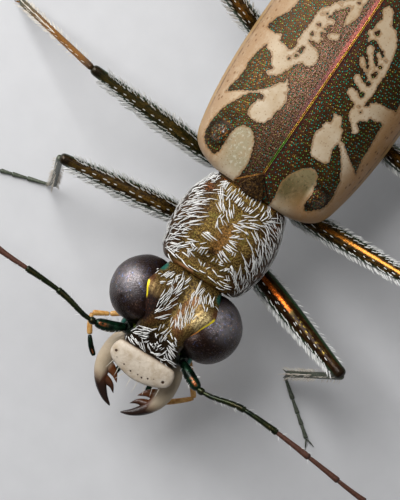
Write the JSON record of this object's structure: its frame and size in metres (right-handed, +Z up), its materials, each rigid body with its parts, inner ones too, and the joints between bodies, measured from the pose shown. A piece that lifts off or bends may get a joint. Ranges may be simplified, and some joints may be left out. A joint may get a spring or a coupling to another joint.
{
  "type": "tiger beetle",
  "caption": "Tiger beetle standing with its wing cases closed, long thin legs spread, feelers held out sideways and jaws a little open.",
  "frame": {"origin": "on the floor below the middle of the bounding box", "axes": "+Z up from the floor, the head towards -Y, the beetle's left side towards +X"},
  "size_m": [0.0234, 0.0206, 0.0054],
  "materials": {
    "elytra": "cream markings on punctured dark bronze, low gloss",
    "pronotum_cuticle": "olive-gold bronze, finely wrinkled, metallic sheen",
    "head_cuticle": "bronze-olive with fine grooves, metallic sheen",
    "underside_cuticle": "dark green bronze, glossy",
    "leg_cuticle": "dark bronze with copper and green glints",
    "tibia_cuticle": "amber brown to dark bronze",
    "eye": "dark grey purple, glossy",
    "ivory": "ivory, satin",
    "amber_palp": "pale amber",
    "green_cuticle": "dark metallic green",
    "antenna_brown": "dull red-brown"
  },
  "bodies": {
    "root": {"head": "head_cuticle", "eye_left": "eye", "eye_right": "eye", "labrum": "ivory", "mandible_left": "ivory", "mandible_right": "ivory", "palp_maxillary_left": "amber_palp", "palp_maxillary_right": "amber_palp", "palp_labial_left": "amber_palp", "palp_labial_right": "amber_palp", "antenna_scape_left": "green_cuticle", "antenna_scape_right": "green_cuticle", "antenna_left": "antenna_brown", "antenna_right": "antenna_brown", "prothorax": "pronotum_cuticle", "scutellum": "pronotum_cuticle", "elytron_left": "elytra", "elytron_right": "elytra", "pterothorax": "underside_cuticle", "abdomen": "underside_cuticle", "coxa_fore_left": "leg_cuticle", "coxa_fore_right": "leg_cuticle", "coxa_mid_left": "leg_cuticle", "coxa_mid_right": "leg_cuticle", "coxa_hind_left": "leg_cuticle", "coxa_hind_right": "leg_cuticle", "femur_fore_left": "leg_cuticle", "femur_fore_right": "leg_cuticle", "femur_mid_left": "leg_cuticle", "femur_mid_right": "leg_cuticle", "femur_hind_left": "leg_cuticle", "femur_hind_right": "leg_cuticle", "tibia_fore_left": "tibia_cuticle", "tibia_fore_right": "tibia_cuticle", "tibia_mid_left": "tibia_cuticle", "tibia_mid_right": "tibia_cuticle", "tibia_hind_left": "tibia_cuticle", "tibia_hind_right": "tibia_cuticle", "tarsus_fore_left": "leg_cuticle", "tarsus_fore_right": "leg_cuticle", "tarsus_mid_left": "leg_cuticle", "tarsus_mid_right": "leg_cuticle", "tarsus_hind_left": "leg_cuticle", "tarsus_hind_right": "leg_cuticle"}
  },
  "joints": []
}
